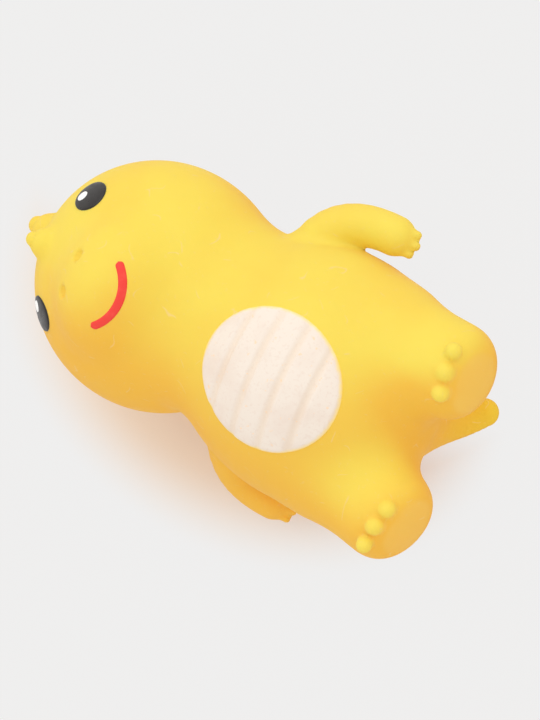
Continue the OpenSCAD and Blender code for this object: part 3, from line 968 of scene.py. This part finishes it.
def over_floor(nodes, links, at, half):
    """Distance over the floor from the middle of an oval, 1 on its outline."""
    where = nodes.new("ShaderNodeTexCoord")
    oval = nodes.new("ShaderNodeMapping")
    oval.inputs["Location"].default_value = [-a / h for a, h in zip(at, half)] + [0]
    oval.inputs["Scale"].default_value = [1 / h for h in half] + [0]
    links.new(where.outputs["Object"], oval.inputs["Vector"])
    length = nodes.new("ShaderNodeVectorMath")
    length.operation = "LENGTH"
    links.new(oval.outputs["Vector"], length.inputs[0])
    return length.outputs["Value"]


def seen_straight(nodes, links):
    """1 where the camera sees a place, by itself or in a reflection or through glass, and 0 elsewhere."""
    path = nodes.new("ShaderNodeLightPath")
    glossy, through = path.outputs["Is Glossy Ray"], path.outputs["Is Transmission Ray"]
    mirrored = maths(nodes, links, "ADD", glossy, through)
    return maths(nodes, links, "ADD", path.outputs["Is Camera Ray"], mirrored)


def wear_material(piece, material):
    piece.data.materials.append(material)


# Putting the torso skin, the prints and the plug on their bodies, and hiding the CAD nodes the pieces stand
# for


def bend(piece):
    """Bakes a piece's placement into its mesh."""
    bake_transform(piece)


def hang_skin(skin, rubber):
    bodies = {
        "head": ("head", HEAD_BEND[0] - HEAD_BEND[1], ("head_skin", "head_filling")),
        "tail": ("tail", TAIL_BEND[1] - TAIL_BEND[0], ("tail",)),
        "belly": ("belly", BELLY_REACH, ()),
    }
    for side in ("left", "right"):
        forearm = np.linalg.norm(ARM_POINTS[side][3] - bezier(ARM_POINTS[side], ARM_BEND[side]))
        bodies["arm_" + side] = (side + "_arm", forearm, ("arm_" + side,))
        bodies["leg_" + side] = (side + "_leg", LEG_BEND[1] - LEG_BEND[0], ("leg_" + side,))
    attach(skin["torso"], "torso")
    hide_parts("torso_skin", "torso_filling")
    for name, (body, reach, nodes) in bodies.items():
        bend(skin[name])
        if nodes:
            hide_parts(*nodes)
    for name, piece in skin.items():
        wear_material(piece, rubber)


def hang_prints(rubber):
    belly = belly_patch()
    bend(belly)
    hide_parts("belly_panel")
    wear_material(belly, cream_material())
    eye_ink = print_material("eye_ink", EYE_BLACK, EYE_WORN, EYE_GLOSS)
    glint_ink = print_material("glint_ink", GLINT_WHITE, GLINT_WORN, INK_GLOSS)
    ink = {"eye": ("eye_print_", eye_ink, "eyes"), "glint": ("eye_glint_", glint_ink, "glints")}
    for name, piece in eye_patches().items():
        kind, side = name.split("_")
        node, material, slot = ink[kind]
        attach(piece, "head")
        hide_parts(node + side)
        wear_material(piece, material)
    smile = smile_patch()
    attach(smile, "head")
    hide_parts("mouth_print")
    wear_material(smile, print_material("smile_ink", SMILE_RED, SMILE_WORN, INK_GLOSS))
    plug = plug_disc()
    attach(plug, "torso")
    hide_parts("filling_plug")
    wear_material(plug, rubber)


# Stage

FLOOR_HALF = 3000.0
FLOOR_DROP = 0.1
PLAIN_FROM = (-0.03, 0.005)
PLAIN_SHARE = (0.1, 0.97)
SHADOW_AT = (-0.027, -0.008)
SHADOW_HALF = (0.053, 0.039)
SHADOW_FADE = (0.8, 1.35)
REST_AT = (-0.025, 0.0)
REST_HALF = (0.045, 0.018)
REST_FADE = (0.75, 1.15)
WORLD_LIGHT = 0.98
SUN_STRENGTH = 0.78
SUN_WIDTH = math.radians(70)
SUN_FROM = Vector(BRIGHT_SIDE)


def add_floor():
    corners = [(-1, -1), (1, -1), (1, 1), (-1, 1)]
    points = [(x * FLOOR_HALF, y * FLOOR_HALF, -FLOOR_DROP) for x, y in corners]
    floor = new_object("floor", points, [(0, 1, 2, 3)])
    floor.data.materials.append(floor_material())


def add_lights():
    sun = bpy.data.lights.new("key", "SUN")
    sun.energy = SUN_STRENGTH
    sun.angle = SUN_WIDTH
    lamp = bpy.data.objects.new("key", sun)
    lamp.rotation_euler = SUN_FROM.to_track_quat("Z", "Y").to_euler()
    bpy.context.scene.collection.objects.link(lamp)
    world = bpy.data.worlds.new("studio")
    world.use_nodes = True
    nodes, links = world.node_tree.nodes, world.node_tree.links
    light = nodes["Background"]
    light.inputs["Color"].default_value = (1, 1, 1, 1)
    light.inputs["Strength"].default_value = WORLD_LIGHT
    backdrop = nodes.new("ShaderNodeBackground")
    backdrop.inputs["Color"].default_value = BACKDROP_GREY
    pick = nodes.new("ShaderNodeMixShader")
    links.new(seen_straight(nodes, links), pick.inputs[0])
    links.new(light.outputs[0], pick.inputs[1])
    links.new(backdrop.outputs[0], pick.inputs[2])
    links.new(pick.outputs[0], nodes["World Output"].inputs["Surface"])
    bpy.context.scene.world = world


def add_camera():
    data = bpy.data.cameras.new("camera")
    data.sensor_width = SENSOR_MM
    data.lens = FOCAL_PX / PHOTO_H * SENSOR_MM
    data.shift_x = (PHOTO_W / 2 - AIM_PX[0]) / PHOTO_H
    data.shift_y = (AIM_PX[1] - PHOTO_H / 2) / PHOTO_H
    data.clip_start = 0.01
    camera = bpy.data.objects.new("camera", data)
    place = Matrix((CAMERA_RIGHT, CAMERA_UP, CAMERA_BACK)).transposed().to_4x4()
    place.translation = (CAMERA_AIM + CAMERA_BACK * CAMERA_AWAY) * MM
    camera.matrix_world = place
    bpy.context.scene.collection.objects.link(camera)
    bpy.context.scene.camera = camera


rubber_skin = rubber_material()
hang_skin(skin_objects(), rubber_skin)
hang_prints(rubber_skin)
add_floor()
add_lights()
add_camera()
bpy.context.scene.view_settings.view_transform = "Standard"
